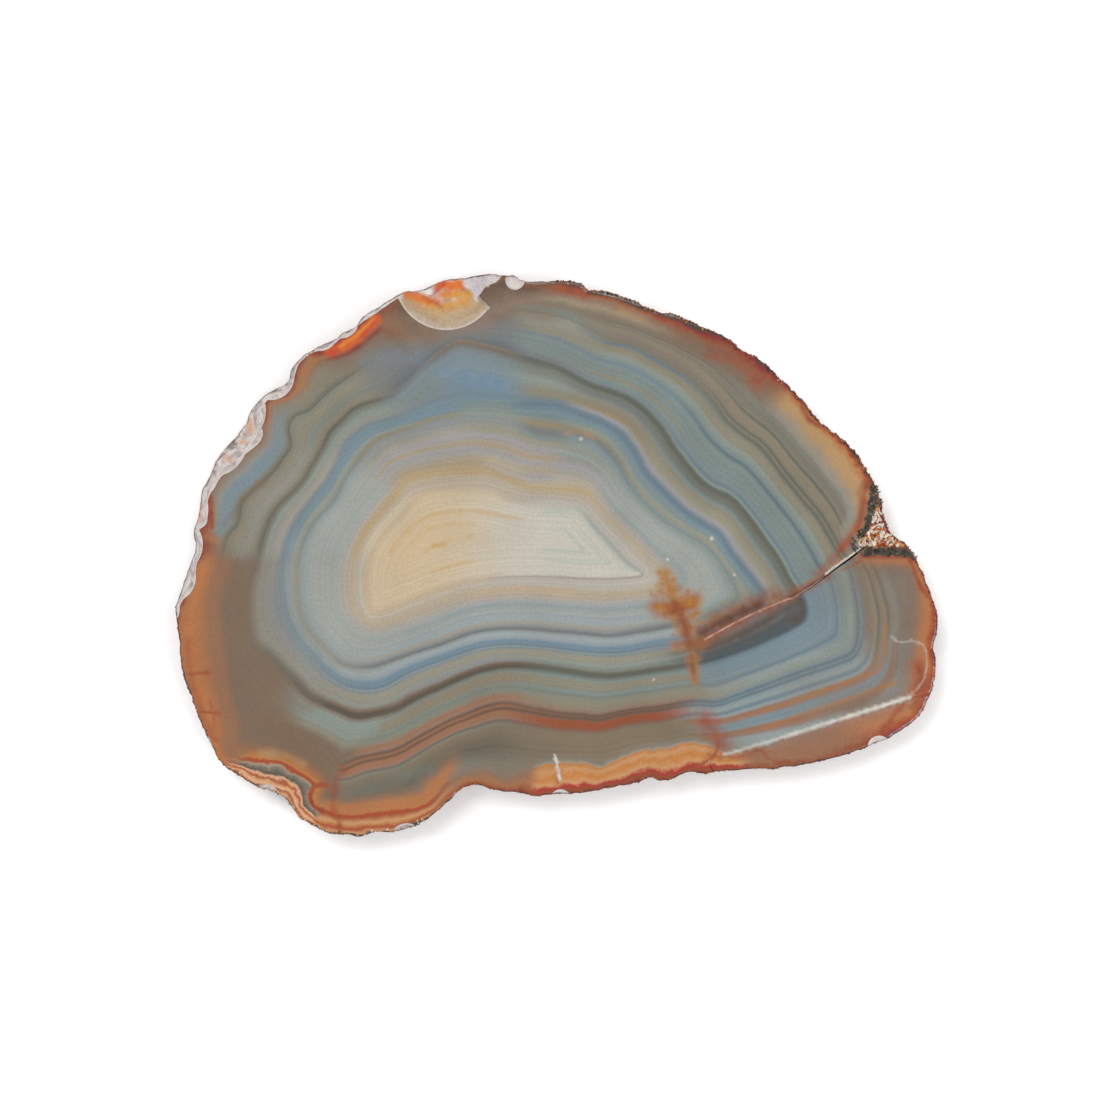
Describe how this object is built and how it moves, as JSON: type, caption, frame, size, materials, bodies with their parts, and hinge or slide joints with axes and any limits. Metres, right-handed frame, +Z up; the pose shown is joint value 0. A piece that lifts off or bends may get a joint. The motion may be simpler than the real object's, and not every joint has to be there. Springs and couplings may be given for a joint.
{
  "type": "agate slice",
  "caption": "Flat slice of banded agate: polished upper face, sawn lower face, rough rind, chipped rim, a short open crack and a small pocket of crystals.",
  "frame": {"origin": "middle of the slice's outline, on the plane that it lies on", "axes": "+Z up out of the polished face, +X along the long way of the slice, +Y towards the domed side of the outline"},
  "size_m": [0.11, 0.0814, 0.006],
  "materials": {
    "agate": "polished"
  },
  "bodies": {
    "root": {"agate_slice": "agate"}
  },
  "joints": []
}
